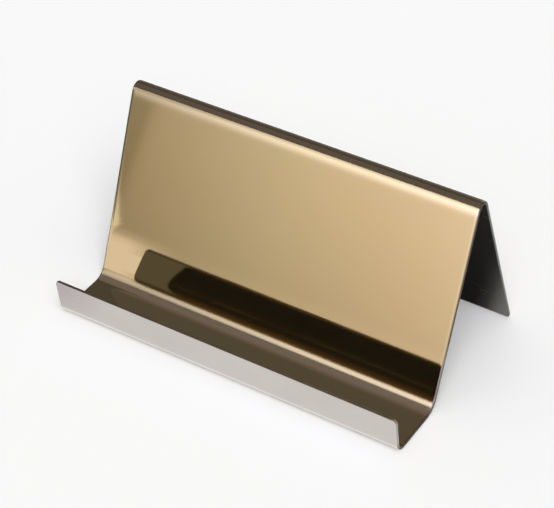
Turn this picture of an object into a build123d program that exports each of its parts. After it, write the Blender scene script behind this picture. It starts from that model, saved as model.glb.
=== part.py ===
from build123d import *
import os
from math import cos, radians, sin

# Business card stand folded from one sheet of steel, gold coated on the side that the cards touch.
# Millimetres and degrees. X runs along the fold lines, the front faces -Y and Z is up.
# The origin is on the desk, under the middle of the stand.

WIDTH = 100.0  # length of every fold line
SHEET_THICKNESS = 0.8  # steel and coat together
COAT_THICKNESS = 0.05
LIP_HEIGHT = 12.0  # top of the front lip above the desk
LIP_LEAN = 8.0  # the lip leans to the front, from the vertical
TRAY_DEPTH = 16.8  # from the lip's card side to the backrest's, along the tray floor
FRONT_BEND = 3.0  # card-side radius of the bend between lip and tray
REAR_BEND = 4.5  # card-side radius of the bend between tray and backrest
BACK_LEAN = 20.6  # the backrest leans to the rear, from the vertical
RIDGE_HEIGHT = 50.8  # top of the ridge above the desk
RIDGE_BEND = 2.4  # outer radius of the ridge
LEG_LEAN = 21.8  # the rear leg leans to the front as it rises, from the vertical
BLANK_CORNER = 1.2  # rounding of the flat blank's four corners: two on the lip and two on the leg

# Unit vectors in the side view, as (Y, Z). Each normal points from the card side to the bare side.
LIP_UP = Vector(-sin(radians(LIP_LEAN)), cos(radians(LIP_LEAN)))
LIP_NORMAL = Vector(-cos(radians(LIP_LEAN)), -sin(radians(LIP_LEAN)))
TRAY_NORMAL = Vector(0, -1)
BACK_UP = Vector(sin(radians(BACK_LEAN)), cos(radians(BACK_LEAN)))
BACK_NORMAL = Vector(cos(radians(BACK_LEAN)), -sin(radians(BACK_LEAN)))
LEG_UP = Vector(-sin(radians(LEG_LEAN)), cos(radians(LEG_LEAN)))
LEG_NORMAL = Vector(-cos(radians(LEG_LEAN)), -sin(radians(LEG_LEAN)))


def card_side_corners():
    """Sharp corners of the card side, from the lip's top to the leg's foot, before the bends.

    The lip's foot is at Y = 0 and the tray floor lies one sheet thickness above the desk. The apex
    stands above the ridge by what the ridge's round cuts off.
    """
    lip_foot = Vector(0, SHEET_THICKNESS)
    lip_top = lip_foot + LIP_UP * ((LIP_HEIGHT - SHEET_THICKNESS) / LIP_UP.Y)
    back_foot = Vector(TRAY_DEPTH, SHEET_THICKNESS)
    half_apex = radians(BACK_LEAN + LEG_LEAN) / 2
    bisector_tilt = radians(BACK_LEAN - LEG_LEAN) / 2
    apex_height = RIDGE_HEIGHT - RIDGE_BEND + RIDGE_BEND * cos(bisector_tilt) / sin(half_apex)
    apex = back_foot + BACK_UP * ((apex_height - SHEET_THICKNESS) / BACK_UP.Y)
    # The leg is cut square, so its bare side reaches the desk and its card side stops a little above.
    foot_height = SHEET_THICKNESS * sin(radians(LEG_LEAN))
    foot = apex - LEG_UP * ((apex_height - foot_height) / LEG_UP.Y)
    return lip_top, lip_foot, back_foot, apex, foot


def mitre(first_normal, second_normal):
    """How far the corner between two panels moves for each millimetre of depth."""
    return (first_normal + second_normal) / (1 + first_normal.dot(second_normal))


def fold_line(depth):
    """Line of the folded sheet at a depth below its card side, as seen from the end of the stand."""
    lip_top, lip_foot, back_foot, apex, foot = card_side_corners()
    corners = [
        lip_top + LIP_NORMAL * depth,
        lip_foot + mitre(LIP_NORMAL, TRAY_NORMAL) * depth,
        back_foot + mitre(TRAY_NORMAL, BACK_NORMAL) * depth,
        apex + mitre(BACK_NORMAL, LEG_NORMAL) * depth,
        foot + LEG_NORMAL * depth,
    ]
    return FilletPolyline(*corners, radius=[FRONT_BEND + depth, REAR_BEND + depth, RIDGE_BEND - depth])


def stand_centre():
    """Middle of the stand from front to rear: between the lip's outer top edge and the leg's heel."""
    lip_front = fold_line(SHEET_THICKNESS) @ 0
    heel = fold_line(0) @ 1
    return (lip_front.X + heel.X) / 2


def sheet_layer(near_depth, far_depth):
    """Part of the folded sheet between two depths below its card side, with its corners rounded."""
    near_line = fold_line(near_depth)
    far_line = fold_line(far_depth)
    lip_cut = Line(near_line @ 0, far_line @ 0)
    foot_cut = Line(near_line @ 1, far_line @ 1)
    section = make_face(near_line.edges() + far_line.edges() + lip_cut.edges() + foot_cut.edges())
    layer = extrude(Plane.YZ * section, amount=WIDTH / 2, both=True)
    across_lip = layer.edges().filter_by(Axis((0, 0, 0), (0, LIP_NORMAL.X, LIP_NORMAL.Y)))
    layer = fillet(across_lip.group_by(Axis.Y)[0], BLANK_CORNER)
    across_leg = layer.edges().filter_by(Axis((0, 0, 0), (0, LEG_NORMAL.X, LEG_NORMAL.Y)))
    layer = fillet(across_leg.group_by(Axis.Y)[-1], BLANK_CORNER)
    return Pos(0, -stand_centre(), 0) * layer


def folded_sheet():
    """Steel of the lip, tray, backrest, ridge and rear leg, all one piece."""
    return sheet_layer(COAT_THICKNESS, SHEET_THICKNESS)


def gold_coat():
    """Gold coat bonded all over the card side of the sheet."""
    return sheet_layer(0, COAT_THICKNESS)


os.makedirs("parts", exist_ok=True)
export_step(folded_sheet(), "parts/folded_sheet.step")
export_step(gold_coat(), "parts/gold_coat.step")
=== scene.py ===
from math import atan, cos, pi, radians, sin, tan

import bpy
import numpy as np
from mathutils import Matrix, Vector


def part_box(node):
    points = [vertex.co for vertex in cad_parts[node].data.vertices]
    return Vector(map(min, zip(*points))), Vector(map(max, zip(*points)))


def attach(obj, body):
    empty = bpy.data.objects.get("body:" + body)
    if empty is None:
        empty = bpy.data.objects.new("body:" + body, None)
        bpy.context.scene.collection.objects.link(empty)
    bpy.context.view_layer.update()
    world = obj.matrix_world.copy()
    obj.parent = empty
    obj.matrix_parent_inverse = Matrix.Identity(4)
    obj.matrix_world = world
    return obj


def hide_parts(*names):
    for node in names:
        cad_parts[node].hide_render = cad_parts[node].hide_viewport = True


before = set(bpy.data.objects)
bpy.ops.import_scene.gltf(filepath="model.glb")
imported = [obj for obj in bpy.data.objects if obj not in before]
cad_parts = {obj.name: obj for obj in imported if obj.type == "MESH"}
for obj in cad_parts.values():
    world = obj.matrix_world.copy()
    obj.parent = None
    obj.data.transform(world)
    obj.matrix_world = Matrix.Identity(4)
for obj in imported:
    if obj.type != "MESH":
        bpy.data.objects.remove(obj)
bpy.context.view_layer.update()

# Business card stand folded from one sheet of steel, gold coated on the side that the cards touch.
# Metres. X runs along the fold lines, the front faces -Y and Z is up, as in the solids.

sheet_low, sheet_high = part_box("folded_sheet")
_, coat_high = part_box("gold_coat")

# Sizes of the folded sheet, as the solids have them. The leg leans a touch less, so that its heel stays
# inside their box.
MM = 0.001
WIDTH = sheet_high.x - sheet_low.x
RIDGE_HEIGHT = coat_high.z
LIP_FRONT = sheet_low.y
SHEET_THICKNESS = 0.8 * MM
COAT_THICKNESS = 0.05 * MM
LIP_HEIGHT = 12.0 * MM
TRAY_DEPTH = 16.8 * MM
LIP_LEAN = radians(8.0)
BACK_LEAN = radians(20.6)
LEG_LEAN = radians(21.68)
BLANK_CORNER = 1.2 * MM

# Bends on the card side: radius of the middle, then turn and length of the first and of the second
# shoulder on the walk from the lip to the leg, where the sheet straightens out.
FRONT_BEND = (2.95 * MM, (radians(3.0), 1.0 * MM), (radians(3.0), 1.0 * MM))
REAR_BEND = (2.5 * MM, (radians(20.0), 3.4 * MM), (radians(26.0), 4.2 * MM))
RIDGE_BEND = (2.45 * MM, (radians(6.0), 2.2 * MM), (radians(6.0), 2.2 * MM))

# Shallow step that the press leaves in the backrest: its steepest tilt, the length of its rise and of
# its fall, and where it starts above the rear bend's sharp corner.
STEP_TILT = radians(1.65)
STEP_LENGTH = 5.0 * MM
STEP_START = 6.5 * MM

# The sheet's edge: the shear has drawn the card side down a little, then the edge is rounded over,
# where the coat wraps it. The other side's edge is broken.
ROLL_WIDTH = 0.9 * MM
ROLL_DEPTH = 0.07 * MM
CARD_EDGE = 0.12 * MM
BARE_EDGE = 0.10 * MM
COAT_WRAP = radians(25.0)
ROLL_SLOPE = atan(2 * ROLL_DEPTH / ROLL_WIDTH)
EDGE_INSET = ROLL_WIDTH + CARD_EDGE * (1 - sin(ROLL_SLOPE))

# Steps of the grid: in a bend's middle, on a shoulder, round a cut corner, round an edge, on the strip that
# the shear has drawn down, and the columns from side to side.
BEND_STEPS = 40
SHOULDER_STEPS = 24
CORNER_STEPS = 12
EDGE_STEPS = 7
ROLL_STEPS = 9
COLUMNS = 61

# Step along a flat panel, step at which the side view's line is worked out, and the digits to which rows
# of the grid are told apart.
PANEL_STEP = 2.0 * MM
FINE_STEP = 0.02 * MM
ROW_DIGITS = 9
ROW_SLACK = 10.0**-ROW_DIGITS

SIDEWAYS = np.array((1.0, 0.0, 0.0))


def bend_stretches(turn, bend):
    """Stretches of one bend, as rows of length, first curvature and last curvature.

    The curvature climbs evenly from nothing over the first shoulder, stays at one over the radius
    in the middle, and dies away evenly over the second shoulder. A shoulder's peak is twice its turn
    over its length. A left turn counts as positive.
    """
    radius, (first_turn, first), (second_turn, second) = bend
    side = np.sign(turn)
    middle = side / radius
    middle_length = (abs(turn) - first_turn - second_turn) * radius
    return np.array([(first, 0, side * 2 * first_turn / first), (middle_length, middle, middle),
                     (second, side * 2 * second_turn / second, 0)])


def step_stretches():
    """Stretches of the backrest's step: the sheet leans back a little further and comes straight again.

    The curvature climbs and dies away evenly, twice, first to the right and then to the left. Each
    peak is twice the tilt over the length.
    """
    peak = 2 * STEP_TILT / STEP_LENGTH
    half = STEP_LENGTH / 2
    return np.array([(half, 0, -peak), (half, -peak, 0), (half, 0, peak), (half, peak, 0)])


def walk(stretches, heading):
    """Distance, heading, Y and Z along a chain of stretches, at fine steps, from the origin.

    The heading is the first heading plus the curvature summed along the way. Y and Z are the cosine
    and the sine of the heading, summed along the way in the same manner.
    """
    ends = np.concatenate(([0], np.cumsum(stretches[:, 0])))
    total = ends[-1]
    along = np.linspace(0, total, int(total / FINE_STEP) + 2)
    which = np.clip(np.searchsorted(ends, along, side="right") - 1, 0, len(stretches) - 1)
    length, first, last = stretches[which].T
    done = along - ends[which]
    turned = np.concatenate(([0], np.cumsum(stretches[:, 0] * (stretches[:, 1] + stretches[:, 2]) / 2)))
    headings = heading + turned[which] + first * done + (last - first) * done**2 / (2 * length)
    step = np.diff(along)
    middle = (headings[1:] + headings[:-1]) / 2
    y = np.concatenate(([0], np.cumsum(np.cos(middle) * step)))
    z = np.concatenate(([0], np.cumsum(np.sin(middle) * step)))
    return along, headings, y, z


def reach(turn, bend):
    """How far a bend's first and second end lie from the sharp corner that its panels would meet in."""
    *_, y, z = walk(bend_stretches(turn, bend), 0.0)
    return y[-1] - z[-1] / tan(turn), z[-1] / sin(turn)


# Turns of the three bends, on a walk down the lip, along the tray, up the backrest and down the leg.
LIP_HEADING = LIP_LEAN - pi / 2
FRONT_TURN = pi / 2 - LIP_LEAN
REAR_TURN = pi / 2 - BACK_LEAN
RIDGE_TURN = BACK_LEAN + LEG_LEAN - pi

# Panels between the sharp corners: the lip's length and the apex follow from the heights.
lip_reach, front_reach = reach(FRONT_TURN, FRONT_BEND)
rear_reach, back_reach = reach(REAR_TURN, REAR_BEND)
ridge_reach, leg_reach = reach(RIDGE_TURN, RIDGE_BEND)
*_, ridge_z = walk(bend_stretches(RIDGE_TURN, RIDGE_BEND), pi / 2 - BACK_LEAN)
apex_height = RIDGE_HEIGHT - ridge_z.max() + ridge_reach * cos(BACK_LEAN)
lip_length = (LIP_HEIGHT - SHEET_THICKNESS) / cos(LIP_LEAN)
step_depth = STEP_TILT * STEP_LENGTH / cos(BACK_LEAN)
back_length = (apex_height - SHEET_THICKNESS) / cos(BACK_LEAN) + step_depth * sin(BACK_LEAN)
foot_height = SHEET_THICKNESS * sin(LEG_LEAN)
leg_length = (apex_height - foot_height) / cos(LEG_LEAN)

STRETCHES = np.concatenate((
    [(lip_length - lip_reach, 0, 0)],
    bend_stretches(FRONT_TURN, FRONT_BEND),
    [(TRAY_DEPTH - step_depth - front_reach - rear_reach, 0, 0)],
    bend_stretches(REAR_TURN, REAR_BEND),
    [(STEP_START - back_reach, 0, 0)],
    step_stretches(),
    [(back_length - STEP_START - 2 * STEP_LENGTH - ridge_reach, 0, 0)],
    bend_stretches(RIDGE_TURN, RIDGE_BEND),
    [(leg_length - leg_reach, 0, 0)],
))
STRETCH_ENDS = np.concatenate(([0], np.cumsum(STRETCHES[:, 0])))
SHEET_LENGTH = STRETCH_ENDS[-1]

# Where the bends start and end along the sheet, by their places in the chain of stretches.
FRONT_START, FRONT_END = STRETCH_ENDS[1], STRETCH_ENDS[4]
REAR_START, REAR_END = STRETCH_ENDS[5], STRETCH_ENDS[8]
RIDGE_START, RIDGE_END = STRETCH_ENDS[14], STRETCH_ENDS[17]

LINE_ALONG, LINE_HEADING, line_y, line_z = walk(STRETCHES, LIP_HEADING)
LINE_Y = line_y + LIP_FRONT + SHEET_THICKNESS * cos(LIP_LEAN)
LINE_Z = line_z + LIP_HEIGHT


def fold(along, across, depth):
    """Points of the folded sheet, the ways to its bare side, and its headings, from the flat blank.

    A place lies so far along the walk from the lip's top edge, so far across from the middle, and so
    deep below the card side: the point on the side view's line, moved by the depth at right angles
    to the line's heading. Past either end of the line, a place goes straight on.
    """
    along, across, depth = np.broadcast_arrays(along, across, depth)
    heading = np.interp(along, LINE_ALONG, LINE_HEADING)
    over = along - np.clip(along, 0, SHEET_LENGTH)
    flat = np.zeros_like(heading)
    normals = np.stack((flat, np.sin(heading), -np.cos(heading)), axis=-1)
    headings = np.stack((flat, np.cos(heading), np.sin(heading)), axis=-1)
    line = np.stack((across, np.interp(along, LINE_ALONG, LINE_Y), np.interp(along, LINE_ALONG, LINE_Z)),
                    axis=-1)
    return line + depth[..., None] * normals + over[..., None] * headings, normals, headings


def grid_rows():
    """Places along the blank for the grid's rows: even angles round the cut corners, close steps in
    the bends and longer ones on the flat panels."""
    round_off = np.linspace(0, pi / 2, CORNER_STEPS)
    corner = BLANK_CORNER - (BLANK_CORNER - EDGE_INSET) * np.cos(round_off)
    pieces = [corner, SHEET_LENGTH - corner]
    for start, stretch in zip(STRETCH_ENDS[:-1], STRETCHES):
        if stretch[1] == 0 and stretch[2] == 0:
            steps = int(stretch[0] / PANEL_STEP) + 2
        elif stretch[1] == stretch[2]:
            steps = BEND_STEPS
        else:
            steps = SHOULDER_STEPS
        pieces.append(np.linspace(start, start + stretch[0], steps))
    rows = np.unique(np.concatenate(pieces).round(ROW_DIGITS))
    low = EDGE_INSET - ROW_SLACK
    high = SHEET_LENGTH - EDGE_INSET + ROW_SLACK
    return rows[(rows >= low) & (rows <= high)]


def blank_grid():
    """Grid of the flat blank inside its shaped edge, and its outline's outward directions.

    Each row runs from side to side. Its half width is the blank's, less the edge, and near an end it
    follows the quarter circle of the corner: the square root of the radius squared less the square
    of the distance still to go to the circle's middle.
    """
    along = grid_rows()
    radius = BLANK_CORNER - EDGE_INSET
    to_go = np.clip(BLANK_CORNER - np.minimum(along, SHEET_LENGTH - along), 0, radius)
    chord = np.sqrt(radius**2 - to_go**2)
    half = WIDTH / 2 - BLANK_CORNER + chord
    across = half[:, None] * np.linspace(-1, 1, COLUMNS)[None, :]
    along_grid = np.broadcast_to(along[:, None], across.shape)
    out_along = np.where(along < SHEET_LENGTH / 2, -to_go, to_go) / radius
    out_across = chord / radius
    return along_grid, across, out_along, out_across


def outline_loop(rows, columns):
    """Grid indices of the outline, once round: first row, right side, last row, left side."""
    index = np.arange(rows * columns).reshape(rows, columns)
    return np.concatenate((index[0], index[1:-1, -1], index[-1, ::-1], index[-2:0:-1, 0]))


def layer_mesh(name, near_depth, far_depth, rim, rim_finish):
    """Closed layer of the sheet between two depths.

    Two grids lie on the near and the far side. The rim joins them: its profile, rows of outward
    distance, depth and lean of the surface, is carried once round the outline. Every corner gets the
    exact direction of the surface, so that the bends and panels reflect without ripples. The UV map
    "blank" holds each place on the flat blank: across and along, in metres.
    """
    along, across, out_along, out_across = blank_grid()
    rows, columns = across.shape
    count = rows * columns
    near, normals, _ = fold(along, across, np.array(near_depth))
    far, far_normals, _ = fold(along, across, np.array(far_depth))

    loop = outline_loop(rows, columns)
    loop_row, loop_column = np.divmod(loop, columns)
    side = np.sign(loop_column - (columns - 1) / 2)
    ends = (loop_row == 0) | (loop_row == rows - 1)
    go_along = out_along[loop_row]
    go_across = np.where(ends, 0, out_across[loop_row] * side)
    out, rim_depth, lean = rim.T
    ring_along = along.ravel()[loop][None, :] + out[:, None] * go_along[None, :]
    ring_across = across.ravel()[loop][None, :] + out[:, None] * go_across[None, :]
    rings, ring_normals, ring_headings = fold(ring_along, ring_across, rim_depth[:, None])
    outward = ring_headings * go_along[None, :, None]
    outward = outward + SIDEWAYS * go_across[None, :, None]
    leans = lean[:, None, None]
    ring_directions = outward * np.cos(leans) + ring_normals * np.sin(leans)

    points = np.concatenate((near.reshape(-1, 3), far.reshape(-1, 3), rings.reshape(-1, 3)))
    directions = np.concatenate((
        -normals.reshape(-1, 3), far_normals.reshape(-1, 3), ring_directions.reshape(-1, 3)))
    grid_places = np.stack((across.ravel(), along.ravel()), axis=-1)
    ring_places = np.stack((ring_across.ravel(), ring_along.ravel()), axis=-1)
    places = np.concatenate((grid_places, grid_places, ring_places))

    cell = np.arange(count).reshape(rows, columns)
    a, b, c, d = cell[:-1, :-1], cell[:-1, 1:], cell[1:, 1:], cell[1:, :-1]
    near_faces = np.stack((a, b, c, d), axis=-1).reshape(-1, 4)
    far_faces = np.stack((a, d, c, b), axis=-1).reshape(-1, 4) + count
    ring = np.arange(len(rim) * len(loop)).reshape(len(rim), len(loop)) + 2 * count
    chain = np.concatenate((loop[None, :], ring, loop[None, :] + count))
    after = np.roll(chain, -1, axis=1)
    rim_faces = np.stack((chain[:-1], chain[1:], after[1:], after[:-1]), axis=-1).reshape(-1, 4)
    faces = np.concatenate((near_faces, far_faces, rim_faces))
    finish = np.zeros(len(faces), np.int32)
    finish[2 * len(near_faces):] = np.repeat(rim_finish, len(loop))

    mesh = bpy.data.meshes.new(name)
    mesh.from_pydata(points.tolist(), [], faces.tolist())
    mesh.polygons.foreach_set("use_smooth", np.ones(len(faces), bool))
    mesh.polygons.foreach_set("material_index", finish)
    blank_map = mesh.uv_layers.new(name="blank")
    blank_map.data.foreach_set("uv", places[faces.ravel()].ravel())
    mesh.update()
    mesh.normals_split_custom_set_from_vertices(directions.tolist())
    piece = bpy.data.objects.new(name, mesh)
    bpy.context.scene.collection.objects.link(piece)
    return piece


def arc(middle_out, middle_depth, radius, leans):
    """Rim rows round an arc: out by the cosine of the lean and deep by its sine, from the middle."""
    return np.stack((middle_out + radius * np.cos(leans), middle_depth + radius * np.sin(leans), leans),
                    axis=-1)


ROUND_OUT = ROLL_WIDTH - CARD_EDGE * sin(ROLL_SLOPE)
ROUND_DEPTH = ROLL_DEPTH + CARD_EDGE * cos(ROLL_SLOPE)


def rolled_edge(under):
    """Rim rows of the card side's edge, moved under it by a distance, as far as the coat reaches.

    The edge sinks with the square of the way out over the drawn-down width, and then goes round an
    arc that carries on from the slope at its end.
    """
    out = np.linspace(0, ROLL_WIDTH, ROLL_STEPS)[1:]
    slope = np.arctan(2 * ROLL_DEPTH * out / ROLL_WIDTH**2)
    sunk = ROLL_DEPTH * (out / ROLL_WIDTH)**2
    drawn = np.stack((out - under * np.sin(slope), sunk + under * np.cos(slope), slope - pi / 2),
                     axis=-1)
    leans = np.linspace(ROLL_SLOPE, COAT_WRAP, EDGE_STEPS)[1:] - pi / 2
    return np.concatenate((drawn, arc(ROUND_OUT, ROUND_DEPTH, CARD_EDGE - under, leans)))


def coat_rim():
    """Profile of the coat's edge: out along its face to where the coat ends, and back along its back."""
    outer = rolled_edge(0.0)
    inner = rolled_edge(COAT_THICKNESS)[::-1]
    inner[:, 2] += pi
    return np.concatenate((outer, inner))


def steel_rim():
    """Profile of the steel's edge: the part under the coat, rest of the round, flat cut, broken edge."""
    bare = arc(ROUND_OUT, ROUND_DEPTH, CARD_EDGE, np.linspace(COAT_WRAP - pi / 2, 0, EDGE_STEPS))
    broken = arc(EDGE_INSET - BARE_EDGE, SHEET_THICKNESS - BARE_EDGE, BARE_EDGE,
                 np.linspace(0, pi / 2, EDGE_STEPS))
    return np.concatenate((rolled_edge(COAT_THICKNESS), bare, broken))


# Materials


def new_material(name):
    """Empty node material and its tree."""
    material = bpy.data.materials.new(name)
    material.use_nodes = True
    tree = material.node_tree
    tree.nodes.clear()
    return material, tree


def feed(tree, socket, value):
    """Give an input socket a value, or link another node's socket to it."""
    if isinstance(value, bpy.types.NodeSocket):
        tree.links.new(value, socket)
    else:
        socket.default_value = value


def node(tree, kind, inputs=None, **settings):
    """Node of a kind with its settings and its inputs, by name or place."""
    made = tree.nodes.new(kind)
    for key, value in settings.items():
        setattr(made, key, value)
    for key, value in (inputs or {}).items():
        feed(tree, made.inputs[key], value)
    return made


def calc(tree, operation, first, second=0.5):
    """Socket of a math node on one or two values or sockets."""
    return node(tree, "ShaderNodeMath", {0: first, 1: second}, operation=operation).outputs[0]


def ramp(tree, value, low, high, to_low=0.0, to_high=1.0, steps="LINEAR"):
    """Socket that runs from one value to another as its input runs between two limits."""
    made = node(tree, "ShaderNodeMapRange",
                {"Value": value, "From Min": low, "From Max": high, "To Min": to_low, "To Max": to_high},
                interpolation_type=steps)
    return made.outputs["Result"]


def streaks(tree, coordinates, scale, detail=3.0):
    """Noise whose cells are scaled on each axis, for grain that runs one way."""
    mapped = node(tree, "ShaderNodeMapping", {"Vector": coordinates, "Scale": scale})
    noise = node(tree, "ShaderNodeTexNoise",
                 {"Vector": mapped.outputs[0], "Scale": 1.0, "Detail": detail})
    return noise.outputs["Fac"]


def mix_colour(tree, share, first, second, blend="MIX"):
    """Colour socket between two colours, or their product."""
    made = node(tree, "ShaderNodeMix", {0: share, 6: first, 7: second},
                data_type="RGBA", blend_type=blend)
    return made.outputs[2]


def colour_stops(tree, value, stops):
    """Colour socket that follows a value through stops, rows of place and colour."""
    first, last = stops[0][0], stops[-1][0]
    made = node(tree, "ShaderNodeValToRGB", {"Fac": ramp(tree, value, first, last)})
    elements = made.color_ramp.elements
    while len(elements) < len(stops):
        elements.new(0.5)
    for element, (place, colour) in zip(elements, stops):
        element.position = (place - first) / (last - first)
        element.color = (*colour, 1.0)
    return made.outputs["Color"]


def share_stops(tree, value, stops):
    """Share that follows a value through stops, rows of place and share."""
    return colour_stops(tree, value, [(place, (share,) * 3) for place, share in stops])


def object_axes(tree):
    """Sockets of the place on the object: X, Y and Z."""
    places = node(tree, "ShaderNodeTexCoord").outputs["Object"]
    parts = node(tree, "ShaderNodeSeparateXYZ", {"Vector": places})
    return parts.outputs["X"], parts.outputs["Y"], parts.outputs["Z"]


def to_output(tree, shader, kind="ShaderNodeOutputMaterial"):
    """Join a shader to the tree's output."""
    tree.links.new(shader.outputs[0], node(tree, kind).inputs["Surface"])


def to_glow(tree, colour, strength):
    """Join a plain glow of a colour to the tree's output."""
    to_output(tree, node(tree, "ShaderNodeEmission", {"Color": colour, "Strength": strength}))


def finish_metal(tree, colour, roughness, height, bump_strength):
    """Metal shader from colour, roughness and height sockets."""
    bump = node(tree, "ShaderNodeBump",
                {"Height": height, "Strength": bump_strength, "Distance": GRAIN_DEPTH})
    shader = node(tree, "ShaderNodeBsdfPrincipled",
                  {"Base Color": colour, "Roughness": roughness, "Metallic": 1.0,
                   "Normal": bump.outputs["Normal"]})
    to_output(tree, shader)


GOLD = (0.70, 0.56, 0.31, 1.0)
GOLD_WARM = (0.71, 0.555, 0.30, 1.0)
# Painted shade for the darker strip along the coat's sides.
GOLD_SHADED_EDGE = (0.26, 0.20, 0.125, 1.0)
STEEL = (0.61, 0.582, 0.538, 1.0)
STEEL_DULL = (0.58, 0.553, 0.512, 1.0)
GRAIN_DEPTH = 0.02 * MM

# Cells of each pattern in a metre: across and along the sheet, or on the three axes of a cut edge.
HAIRLINES = (40.0, 9000.0, 1.0)
SMUDGES = (45.0, 70.0, 1.0)
TINT_DRIFT = (14.0, 20.0, 1.0)
CHIPS = (900.0, 900.0, 1.0)
ROLLED_GRAIN = (60.0, 7000.0, 1.0)
CLOUDS = (55.0, 80.0, 1.0)
SHEAR_MARKS = (3500.0, 3500.0, 3500.0)
CUT_PATCHES = (250.0, 250.0, 250.0)

# Values of the noise between which a pattern comes in.
WIDE = (0.3, 0.7)
MIDDLE = (0.35, 0.65)
UPPER = (0.4, 0.7)
TOP = (0.45, 0.75)

# Roughness of each surface, what its patterns and its wear add, and how far its grain stands out.
GOLD_ROUGHNESS = (0.025, 0.045)
SMUDGE_ROUGHNESS = 0.02
WEAR_ROUGHNESS = 0.15
GOLD_RELIEF = 0.05
STEEL_ROUGHNESS = (0.20, 0.25)
CLOUD_ROUGHNESS = 0.04
STEEL_RELIEF = 0.015
CUT_ROUGHNESS = (0.38, 0.52)
CUT_RELIEF = 0.3
PATCH_LIGHT = (1.0, 1.0, 1.0, 1.0)
PATCH_DARK = (0.8, 0.8, 0.8, 1.0)

# Painted shade: a darker strip painted along the coat's sides, standing in for the dark reflection there:
# where it starts and where it is darkest.
PAINTED_EDGE_SHADE = (0.45 * MM, 0.15 * MM)

# Painted reflection: a pale, duller patch on the sheet's right edge, from the rear bend some way up the
# backrest, standing in for the white room that the edge reflects: the distances from the edge where it
# starts and where it is palest, its shares along the sheet, and the roughness added.
PALE_STRIP_SIDE = (0.45 * MM, 0.30 * MM)
PALE_STRIP_ALONG = [(REAR_END - 4.8 * MM, 0.0), (REAR_END - 3.0 * MM, 1.0),
                (REAR_END + 8.0 * MM, 1.0), (REAR_END + 9.5 * MM, 0.0)]
PALE_STRIP_ROUGHNESS = 0.50
GOLD_PAINTED_PALE = (0.36, 0.33, 0.28, 1.0)

# Bends whose stretched coat is duller: start, end, roughness added, and the shares of the bend's length
# from its middle within which it is dullest and beyond which it isn't.
DULLED_BENDS = [(FRONT_START, FRONT_END, 0.06, 0.25, 0.6),
                (REAR_START, REAR_END, 0.24, 0.08, 0.24),
                (RIDGE_START, RIDGE_END, 0.15, 0.25, 0.6)]

# Painted shade: a darker line painted on the ridge's coat, standing in for the dark that it reflects: its
# middle, by a share of the bend's length, the distances from there where it starts and where it is darkest,
# and by how much.
SHADE_LINE_SHARE = 0.405
SHADE_LINE_MIDDLE = RIDGE_START + SHADE_LINE_SHARE * (RIDGE_END - RIDGE_START)
SHADE_LINE_REACH = (0.85 * MM, 0.35 * MM)
SHADE_LINE_STRENGTH = 0.30
SHADE_LINE_COLOUR = (0.0, 0.0, 0.0, 1.0)

# Painted light and shade on the cut edge, along the sheet from the lip's top, standing in for what each
# part reflects: warmer at the top, brighter at the lip's two ends, dark as painted shade beside the tray,
# and duller or brighter along the backrest and the leg.
CUT_WARM = (0.30, 0.23, 0.15)
CUT_BRIGHT = (0.42, 0.40, 0.37)
CUT_DARK = (0.050, 0.038, 0.030)
CUT_DULL = (0.20, 0.17, 0.11)
CUT_BROWN = (0.085, 0.050, 0.034)
CUT_OLIVE = (0.070, 0.058, 0.030)
CUT_GREY = (0.21, 0.21, 0.20)
WARM_END = 0.4 * BLANK_CORNER
DULL_END = REAR_END + 10.0 * MM
BROWN_START = REAR_END + 14.0 * MM
CUT_SHADES = [(WARM_END, CUT_WARM), (BLANK_CORNER, CUT_BRIGHT), (FRONT_START, CUT_BRIGHT),
              ((FRONT_START + FRONT_END) / 2, CUT_DARK), (REAR_START, CUT_DARK), (REAR_END, CUT_DULL),
              (DULL_END, CUT_DULL), (BROWN_START, CUT_BROWN),
              ((REAR_END + RIDGE_START) / 2, CUT_BROWN), (RIDGE_START, CUT_OLIVE),
              ((RIDGE_START + RIDGE_END) / 2, CUT_DARK), (RIDGE_END, CUT_GREY),
              (SHEET_LENGTH, CUT_GREY)]


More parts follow.
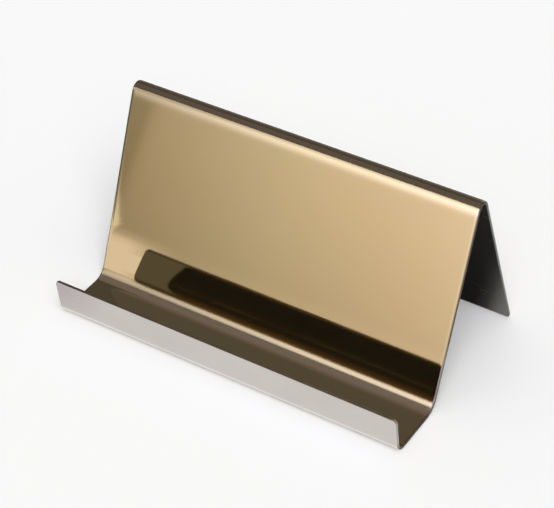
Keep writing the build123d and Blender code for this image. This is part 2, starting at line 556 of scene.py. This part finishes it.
def polished_gold():
    """Gold coat, polished along the folds: fine hairlines, faint smudges and a tint that drifts. Where the
    bends have stretched it, the coat is duller. It carries painted shade as a darker line on the ridge and
    a darker strip along its sides, and a pale strip of painted reflection on its right edge above the rear
    bend. Its edge is thinly worn."""
    material, tree = new_material("polished gold coat")
    blank = node(tree, "ShaderNodeUVMap", uv_map="blank").outputs["UV"]
    parts = node(tree, "ShaderNodeSeparateXYZ", {"Vector": blank})
    across, along = parts.outputs["X"], parts.outputs["Y"]
    hairlines = streaks(tree, blank, HAIRLINES)
    smudges = streaks(tree, blank, SMUDGES, detail=4.0)
    drift = streaks(tree, blank, TINT_DRIFT, detail=1.0)

    to_side = calc(tree, "SUBTRACT", WIDTH / 2, calc(tree, "ABSOLUTE", across))
    to_end = calc(tree, "MINIMUM", calc(tree, "SUBTRACT", SHEET_LENGTH, along), along)
    to_edge = calc(tree, "MINIMUM", to_side, to_end)
    chips = streaks(tree, blank, CHIPS, detail=2.0)
    wear = calc(tree, "MULTIPLY", ramp(tree, to_edge, CARD_EDGE, 0.0), ramp(tree, chips, *UPPER))

    tint = mix_colour(tree, ramp(tree, drift, *MIDDLE), GOLD, GOLD_WARM)
    # Painted shade: darker line along the ridge.
    from_shade_line = calc(tree, "ABSOLUTE", calc(tree, "SUBTRACT", along, SHADE_LINE_MIDDLE))
    painted_ridge_shade = ramp(tree, from_shade_line, *SHADE_LINE_REACH, 0.0, SHADE_LINE_STRENGTH, "SMOOTHSTEP")
    tint = mix_colour(tree, painted_ridge_shade, tint, SHADE_LINE_COLOUR)
    # Painted shade: darker strip along the sides.
    painted_edges = mix_colour(tree, ramp(tree, to_side, *PAINTED_EDGE_SHADE), tint, GOLD_SHADED_EDGE)
    # Painted reflection: pale strip on the right edge above the rear bend.
    to_right = calc(tree, "SUBTRACT", WIDTH / 2, across)
    painted_pale = calc(tree, "MULTIPLY", ramp(tree, to_right, *PALE_STRIP_SIDE),
                  share_stops(tree, along, PALE_STRIP_ALONG))
    painted_edges = mix_colour(tree, painted_pale, painted_edges, GOLD_PAINTED_PALE)
    colour = mix_colour(tree, wear, painted_edges, STEEL)
    roughness = calc(tree, "ADD", ramp(tree, hairlines, *WIDE, *GOLD_ROUGHNESS),
                     ramp(tree, smudges, *TOP, 0.0, SMUDGE_ROUGHNESS))
    for start, end, dulled, inner, outer in DULLED_BENDS:
        length = end - start
        from_bend = calc(tree, "ABSOLUTE", calc(tree, "SUBTRACT", along, (start + end) / 2))
        stretched = ramp(tree, from_bend, length * outer, length * inner, 0.0, dulled, "SMOOTHSTEP")
        roughness = calc(tree, "ADD", roughness, stretched)
    roughness = calc(tree, "ADD", roughness, calc(tree, "MULTIPLY", wear, WEAR_ROUGHNESS))
    roughness = calc(tree, "ADD", roughness, calc(tree, "MULTIPLY", painted_pale, PALE_STRIP_ROUGHNESS))
    finish_metal(tree, colour, roughness, hairlines, GOLD_RELIEF)
    return material


def rolled_steel():
    """Bare side of the sheet: rolled grain along the folds and a dull, slightly cloudy shine."""
    material, tree = new_material("rolled bare steel")
    blank = node(tree, "ShaderNodeUVMap", uv_map="blank").outputs["UV"]
    grain = streaks(tree, blank, ROLLED_GRAIN, detail=4.0)
    clouds = streaks(tree, blank, CLOUDS, detail=4.0)
    colour = mix_colour(tree, ramp(tree, clouds, *MIDDLE), STEEL, STEEL_DULL)
    roughness = calc(tree, "ADD", ramp(tree, grain, *WIDE, *STEEL_ROUGHNESS),
                     ramp(tree, clouds, *UPPER, 0.0, CLOUD_ROUGHNESS))
    finish_metal(tree, colour, roughness, grain, STEEL_RELIEF)
    return material


def cut_steel():
    """Cut edge of the sheet: rough, with fine marks left by the shear, patchy, and with painted light and
    shade that changes along the sheet."""
    material, tree = new_material("cut steel edge")
    places = node(tree, "ShaderNodeTexCoord").outputs["Object"]
    blank = node(tree, "ShaderNodeUVMap", uv_map="blank").outputs["UV"]
    along = node(tree, "ShaderNodeSeparateXYZ", {"Vector": blank}).outputs["Y"]
    marks = streaks(tree, places, SHEAR_MARKS)
    patches = streaks(tree, places, CUT_PATCHES, detail=2.0)
    dimmed = mix_colour(tree, ramp(tree, patches, *MIDDLE), PATCH_LIGHT, PATCH_DARK)
    # Painted light and shade along the sheet, times the random patches.
    colour = mix_colour(tree, 1.0, colour_stops(tree, along, CUT_SHADES), dimmed, "MULTIPLY")
    roughness = ramp(tree, marks, *WIDE, *CUT_ROUGHNESS)
    finish_metal(tree, colour, roughness, marks, CUT_RELIEF)
    return material


# Pieces

# The steel's rim has the cut finish, all but its last row, which lies on the bare side.
rim = steel_rim()
rim_finish = np.ones(len(rim) + 1, np.int32)
rim_finish[-1] = 0
steel = layer_mesh("steel_sheet", COAT_THICKNESS, SHEET_THICKNESS, rim, rim_finish)
steel.data.materials.append(rolled_steel())
steel.data.materials.append(cut_steel())
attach(steel, "root")
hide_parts("folded_sheet")

rim = coat_rim()
coat = layer_mesh("gold_face", 0.0, COAT_THICKNESS, rim, np.zeros(len(rim) + 1, np.int32))
coat.data.materials.append(polished_gold())
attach(coat, "root")
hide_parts("gold_coat")

# Studio: a white room with a pale floor, soft lamps, and a few cards that only the metal sees.

FLOOR_SIZE = 12.0
FLOOR_DROP = 0.05 * MM
FLOOR_COLOUR = (0.95, 0.95, 0.95, 1.0)
FLOOR_MOTTLE = (0.945, 0.945, 0.945, 1.0)
FLOOR_CELLS = (9.0, 9.0, 9.0)
WHITE = (1.0, 1.0, 1.0, 1.0)
BACKDROP_LIGHT = 1.0
FILL_LIGHT = 0.40
LAMP_SPREAD = radians(40.0)


def stage_grid(name, points):
    """Stage mesh on a grid of points, with a UV map that runs from 0 to 1 both ways."""
    rows, columns = points.shape[:2]
    cell = np.arange(rows * columns).reshape(rows, columns)
    corners = (cell[:-1, :-1], cell[:-1, 1:], cell[1:, 1:], cell[1:, :-1])
    faces = np.stack(corners, axis=-1).reshape(-1, 4)
    shares = np.stack(np.meshgrid(np.linspace(0, 1, columns), np.linspace(0, 1, rows)), axis=-1)
    mesh = bpy.data.meshes.new(name)
    mesh.from_pydata(points.reshape(-1, 3).tolist(), [], faces.tolist())
    share_map = mesh.uv_layers.new(name="share")
    share_map.data.foreach_set("uv", shares.reshape(-1, 2)[faces.ravel()].ravel())
    made = bpy.data.objects.new(name, mesh)
    bpy.context.scene.collection.objects.link(made)
    return made


def flat_card(left, right, front, rear, height):
    """Corners of a level card between its sides, front and rear, at a height."""
    return np.array([[(left, front, height), (right, front, height)],
                     [(left, rear, height), (right, rear, height)]])


def upright_card(left, right, y, top):
    """Corners of a card that stands on the floor between its sides, up to its top."""
    return np.array([[(left, y, 0.0), (right, y, 0.0)], [(left, y, top), (right, y, top)]])


def seen_in_metal_only(card):
    """The card shows in reflections, and neither lights the scene nor shades it."""
    card.visible_camera = False
    card.visible_diffuse = False
    card.visible_transmission = False
    card.visible_shadow = False


def pale_floor():
    """Matt pale floor, with a very faint mottle."""
    material, tree = new_material("pale floor")
    places = node(tree, "ShaderNodeTexCoord").outputs["Object"]
    mottle = streaks(tree, places, FLOOR_CELLS, detail=2.0)
    colour = mix_colour(tree, mottle, FLOOR_COLOUR, FLOOR_MOTTLE)
    to_output(tree, node(tree, "ShaderNodeBsdfPrincipled",
                         {"Base Color": colour, "Roughness": 1.0, "Specular IOR Level": 0.0}))
    return material


half = FLOOR_SIZE / 2
floor = stage_grid("floor", flat_card(-half, half, -half, half, -FLOOR_DROP))
floor.data.materials.append(pale_floor())

# Soft card in front of the stand: paler to its right and towards its top.
CARD_Y = -0.165
CARD_FOOT = 3.5 * MM
CARD_TOP = 0.20
CARD_LEFT = -0.1352
CARD_LEFT_SLOPE = -0.50
CARD_CORNER = 5.0 * MM
CARD_CORNER_STEPS = 9
CARD_RIGHT = 0.60
CARD_ACROSS = [(-0.1425, (0.37, 0.336, 0.29)), (-0.1395, (0.49, 0.437, 0.40)),
               (-0.135, (0.555, 0.50, 0.47)), (-0.076, (0.79, 0.748, 0.715)),
               (-0.023, (0.97, 0.875, 0.88)), (0.030, (1.15, 1.136, 1.25))]
CARD_UP = [(0.0, (0.230, 0.230, 0.221)), (0.0075, (0.264, 0.262, 0.254)),
           (0.0135, (0.277, 0.275, 0.268)), (0.0415, (0.333, 0.333, 0.333)),
           (0.051, (0.347, 0.35, 0.363)), (0.0625, (0.465, 0.495, 0.59)), (0.071, (0.55, 0.60, 0.75)),
           (0.085, (0.61, 0.68, 0.92)), (0.12, (0.55, 0.61, 0.80)), (0.16, (0.45, 0.49, 0.57)),
           (CARD_TOP, (0.45, 0.49, 0.57))]
CARD_STRENGTH = 3.0


def soft_card():
    """Glow of the soft card: how far across times how far up."""
    material, tree = new_material("soft card")
    x, _, z = object_axes(tree)
    across = colour_stops(tree, x, CARD_ACROSS)
    upward = colour_stops(tree, z, CARD_UP)
    to_glow(tree, mix_colour(tree, 1.0, across, upward, "MULTIPLY"), CARD_STRENGTH)
    return material


def card_points():
    """Upright card: its left side leans, and near the foot it follows a quarter circle inward."""
    off = CARD_CORNER * (1 - np.cos(np.linspace(0, pi / 2, CARD_CORNER_STEPS)))
    rise = np.append(off, CARD_TOP - CARD_FOOT)[:, None]
    to_go = np.clip(CARD_CORNER - rise, 0, None)
    left = CARD_LEFT + CARD_LEFT_SLOPE * rise + CARD_CORNER - np.sqrt(CARD_CORNER**2 - to_go**2)
    x = np.concatenate((left, np.full_like(left, CARD_RIGHT)), axis=1)
    return np.stack(np.broadcast_arrays(x, CARD_Y, CARD_FOOT + rise), axis=-1)


front_card = stage_grid("front_card", card_points())
front_card.data.materials.append(soft_card())
seen_in_metal_only(front_card)

# Dark card to the left of the soft card, a little further out.
SIDE_Y = CARD_Y - 5.0 * MM
SIDE_LEFT = -0.30
SIDE_RIGHT = -0.152
SIDE_TOP = 0.10
SIDE_SHADES = [(-0.20, (0.20, 0.218, 0.22)), (SIDE_RIGHT, (0.45, 0.426, 0.40))]
SIDE_STRENGTH = 1.0


def shade_card(name, shades, strength):
    """Glow of a plain card, by how far across."""
    material, tree = new_material(name)
    x = object_axes(tree)[0]
    to_glow(tree, colour_stops(tree, x, shades), strength)
    return material


side_card = stage_grid("side_card", upright_card(SIDE_LEFT, SIDE_RIGHT, SIDE_Y, SIDE_TOP))
side_card.data.materials.append(shade_card("side card", SIDE_SHADES, SIDE_STRENGTH))
seen_in_metal_only(side_card)

# Low white card close to the lip, to its left. It fades out towards its top and its right.
NEAR_Y = -0.045
NEAR_LEFT = -0.10
NEAR_FADE = (-0.047, -0.064)
NEAR_TOP = 13.0 * MM
NEAR_SOLID = [(10.0 * MM, 1.0), (11.6 * MM, 0.83), (12.1 * MM, 0.68), (12.5 * MM, 0.45),
              (12.8 * MM, 0.2), (NEAR_TOP, 0.0)]
NEAR_LIGHT = (0.98, 0.918, 0.98, 1.0)


def fading_card():
    """Glow of the low card, more and more see-through towards its top and its right."""
    material, tree = new_material("low card")
    x, _, z = object_axes(tree)
    solid = calc(tree, "MULTIPLY", share_stops(tree, z, NEAR_SOLID), ramp(tree, x, *NEAR_FADE))
    clear = node(tree, "ShaderNodeBsdfTransparent")
    glow = node(tree, "ShaderNodeEmission", {"Color": NEAR_LIGHT})
    to_output(tree, node(tree, "ShaderNodeMixShader",
                         {0: solid, 1: clear.outputs[0], 2: glow.outputs[0]}))
    return material


near_card = stage_grid("near_card", upright_card(NEAR_LEFT, NEAR_FADE[0], NEAR_Y, NEAR_TOP))
near_card.data.materials.append(fading_card())
seen_in_metal_only(near_card)

# Arch over the stand on the left: pale above the soft card, dark overhead and behind on its left, and
# pale again behind on its right. It comes forward along the floor as far as its foot.
ARCH_RADIUS = 0.50
ARCH_LEFT = -0.90
ARCH_RIGHT = 0.06
ARCH_START = radians(20.0)
ARCH_DARK = (radians(50.0), radians(52.5))
ARCH_FOOT = 0.055
ARCH_STEPS = 40
ARCH_PALE = [(-0.33, (0.525, 0.497, 0.55)), (-0.23, (0.695, 0.663, 0.74)),
             (-0.14, (0.75, 0.719, 0.80))]
ARCH_SHADES = [(radians(51.0), (0.012, 0.018, 0.050)), (radians(57.5), (0.012, 0.018, 0.050)),
               (radians(61.0), (0.022, 0.027, 0.072)), (radians(66.0), (0.052, 0.052, 0.082)),
               (radians(72.0), (0.085, 0.076, 0.100)), (radians(79.0), (0.113, 0.093, 0.100)),
               (radians(85.0), (0.113, 0.093, 0.100)), (radians(87.0), (0.073, 0.087, 0.132)),
               (radians(90.0), (0.074, 0.086, 0.130)), (radians(94.0), (0.083, 0.088, 0.135)),
               (radians(98.0), (0.092, 0.092, 0.140)), (radians(102.0), (0.104, 0.099, 0.135)),
               (radians(106.0), (0.112, 0.099, 0.118)), (radians(110.5), (0.112, 0.094, 0.106)),
               (radians(114.0), (0.050, 0.047, 0.048)), (radians(120.0), (0.046, 0.0445, 0.046)),
               (radians(150.0), (0.046, 0.0445, 0.046)), (radians(158.0), (0.086, 0.099, 0.155)),
               (radians(172.0), (0.086, 0.099, 0.155)), (pi, (0.065, 0.0615, 0.065))]
ARCH_BEHIND = [(radians(148.0), 0.0), (radians(153.0), 1.0),
               (radians(172.0), 1.0), (radians(176.0), 0.0)]
ARCH_BEHIND_ACROSS = (-0.10, -0.075)
ARCH_BEHIND_LIGHT = (0.46, 0.44, 0.46, 1.0)
ARCH_STRENGTH = 2.0

# The arch's foot and the flags lie this far above the floor.
FLAG_RISE = 0.3 * MM


def arch_points():
    """Half pipe along X: back by the cosine and up by the sine of the angle from straight ahead. Its
    end comes forward along the floor."""
    angle = np.linspace(ARCH_START, pi, ARCH_STEPS)
    y = np.append(-ARCH_RADIUS * np.cos(angle), ARCH_FOOT)[:, None]
    z = np.append(ARCH_RADIUS * np.sin(angle), 0.0)[:, None] + FLAG_RISE
    return np.stack(np.broadcast_arrays(np.array([[ARCH_LEFT, ARCH_RIGHT]]), y, z), axis=-1)


def arch_card():
    """Glow of the arch: by how far across where it is pale, and by its angle where it is dark. Behind,
    on its right, it is of one light."""
    material, tree = new_material("arch card")
    x, y, z = object_axes(tree)
    angle = calc(tree, "ARCTAN2", z, calc(tree, "MULTIPLY", y, -1.0))
    pale = colour_stops(tree, x, ARCH_PALE)
    dark = colour_stops(tree, angle, ARCH_SHADES)
    colour = mix_colour(tree, ramp(tree, angle, *ARCH_DARK), pale, dark)
    behind = share_stops(tree, angle, ARCH_BEHIND)
    behind = calc(tree, "MULTIPLY", behind, ramp(tree, x, *ARCH_BEHIND_ACROSS))
    to_glow(tree, mix_colour(tree, behind, colour, ARCH_BEHIND_LIGHT), ARCH_STRENGTH)
    return material


arch = stage_grid("arch", arch_points())
arch.data.materials.append(arch_card())
seen_in_metal_only(arch)

# Flags that lie on the floor, as rows of left, right, front and rear, with their strengths and their shades
# along X. They stand in for the floor as the metal sees it, with its light and shade painted on: a dark one
# of painted shade to the left of the stand, a dark one of painted shade under its tent, lighter at its
# right end, a pale one in front of the lip, darker at its left, and a bright one of painted light under the
# front bend.
FLAGS = {
    "left_flag": ((ARCH_LEFT, -0.058, -0.015, 0.055), 1.0,
                  [(ARCH_LEFT, (0.13, 0.13, 0.13)), (0.0, (0.13, 0.13, 0.13))]),
    "tent_flag": ((-0.055, 0.052, -0.010, 0.0305), 1.0,
                  [(0.0395, (0.012, 0.012, 0.012)), (0.043, (0.045, 0.045, 0.045)),
                   (0.0465, (0.18, 0.18, 0.178)), (0.050, (0.25, 0.25, 0.247))]),
    "lip_flag": ((-0.062, 0.060, -0.060, -0.0299), 1.0,
                 [(-0.056, (0.76, 0.71, 0.78)), (-0.040, (0.93, 0.92, 0.925)),
                  (0.0, (0.95, 0.94, 0.94))]),
    "foot_flag": ((-0.062, 0.060, -0.0299, -0.020), 1.08,
                  [(-0.06, (1.0, 0.99, 0.99)), (0.06, (1.0, 0.99, 0.99))]),
}
for name, (edges, strength, shades) in FLAGS.items():
    flag = stage_grid(name, flat_card(*edges, FLAG_RISE))
    flag.data.materials.append(shade_card(name, shades, strength))
    seen_in_metal_only(flag)

# Soft lamps: azimuth to the right, elevation, and the share of the floor's light. The metal shows the
# room and the cards, and not the lamps.
LAMPS = [("key_lamp", radians(36.0), radians(50.0), 0.48), ("top_lamp", 0.0, radians(90.0), 0.12)]
for name, azimuth, elevation, share in LAMPS:
    lamp = bpy.data.lights.new(name, "SUN")
    lamp.energy = share * pi / sin(elevation)
    lamp.angle = LAMP_SPREAD
    stand = bpy.data.objects.new(name, lamp)
    stand.rotation_euler = (pi / 2 - elevation, 0.0, azimuth)
    stand.visible_glossy = False
    bpy.context.scene.collection.objects.link(stand)

world = bpy.data.worlds.new("white room")
bpy.context.scene.world = world
world.use_nodes = True
tree = world.node_tree
tree.nodes.clear()
path = node(tree, "ShaderNodeLightPath")
seen = calc(tree, "MAXIMUM", path.outputs["Is Camera Ray"], path.outputs["Is Glossy Ray"])
seen = calc(tree, "MAXIMUM", seen, path.outputs["Is Transmission Ray"])
backdrop = node(tree, "ShaderNodeBackground", {"Color": WHITE, "Strength": BACKDROP_LIGHT})
fill = node(tree, "ShaderNodeBackground", {"Color": WHITE, "Strength": FILL_LIGHT})
chosen = node(tree, "ShaderNodeMixShader", {0: seen, 1: fill.outputs[0], 2: backdrop.outputs[0]})
to_output(tree, chosen, "ShaderNodeOutputWorld")

# Camera, turned round the middle of the stand.
VIEW_AZIMUTH = radians(32.314)
VIEW_ELEVATION = radians(38.432)
VIEW_ROLL = radians(-0.479)
VIEW_DISTANCE = 0.484691
VIEW_TARGET = Vector((0.0, -3.355 * MM, 20.0 * MM))
VIEW_RISE = 2.337 * MM
IMAGE_WIDTH = 554
FOCAL_PIXELS = 1922.512
CLIP_START = 0.01

back = Vector((sin(VIEW_AZIMUTH) * cos(VIEW_ELEVATION),
               -cos(VIEW_AZIMUTH) * cos(VIEW_ELEVATION), sin(VIEW_ELEVATION)))
right = Vector((cos(VIEW_AZIMUTH), sin(VIEW_AZIMUTH), 0.0))
up = back.cross(right)
place = VIEW_TARGET + back * VIEW_DISTANCE + up * VIEW_RISE
rolled_right = right * cos(VIEW_ROLL) + up * sin(VIEW_ROLL)
rolled_up = up * cos(VIEW_ROLL) - right * sin(VIEW_ROLL)
camera_data = bpy.data.cameras.new("photo_camera")
camera_data.angle = 2 * atan(IMAGE_WIDTH / 2 / FOCAL_PIXELS)
camera_data.clip_start = CLIP_START
camera = bpy.data.objects.new("photo_camera", camera_data)
turned = Matrix((rolled_right, rolled_up, back)).transposed().to_4x4()
camera.matrix_world = Matrix.Translation(place) @ turned
bpy.context.scene.collection.objects.link(camera)
bpy.context.scene.camera = camera
bpy.context.scene.view_settings.view_transform = "Standard"
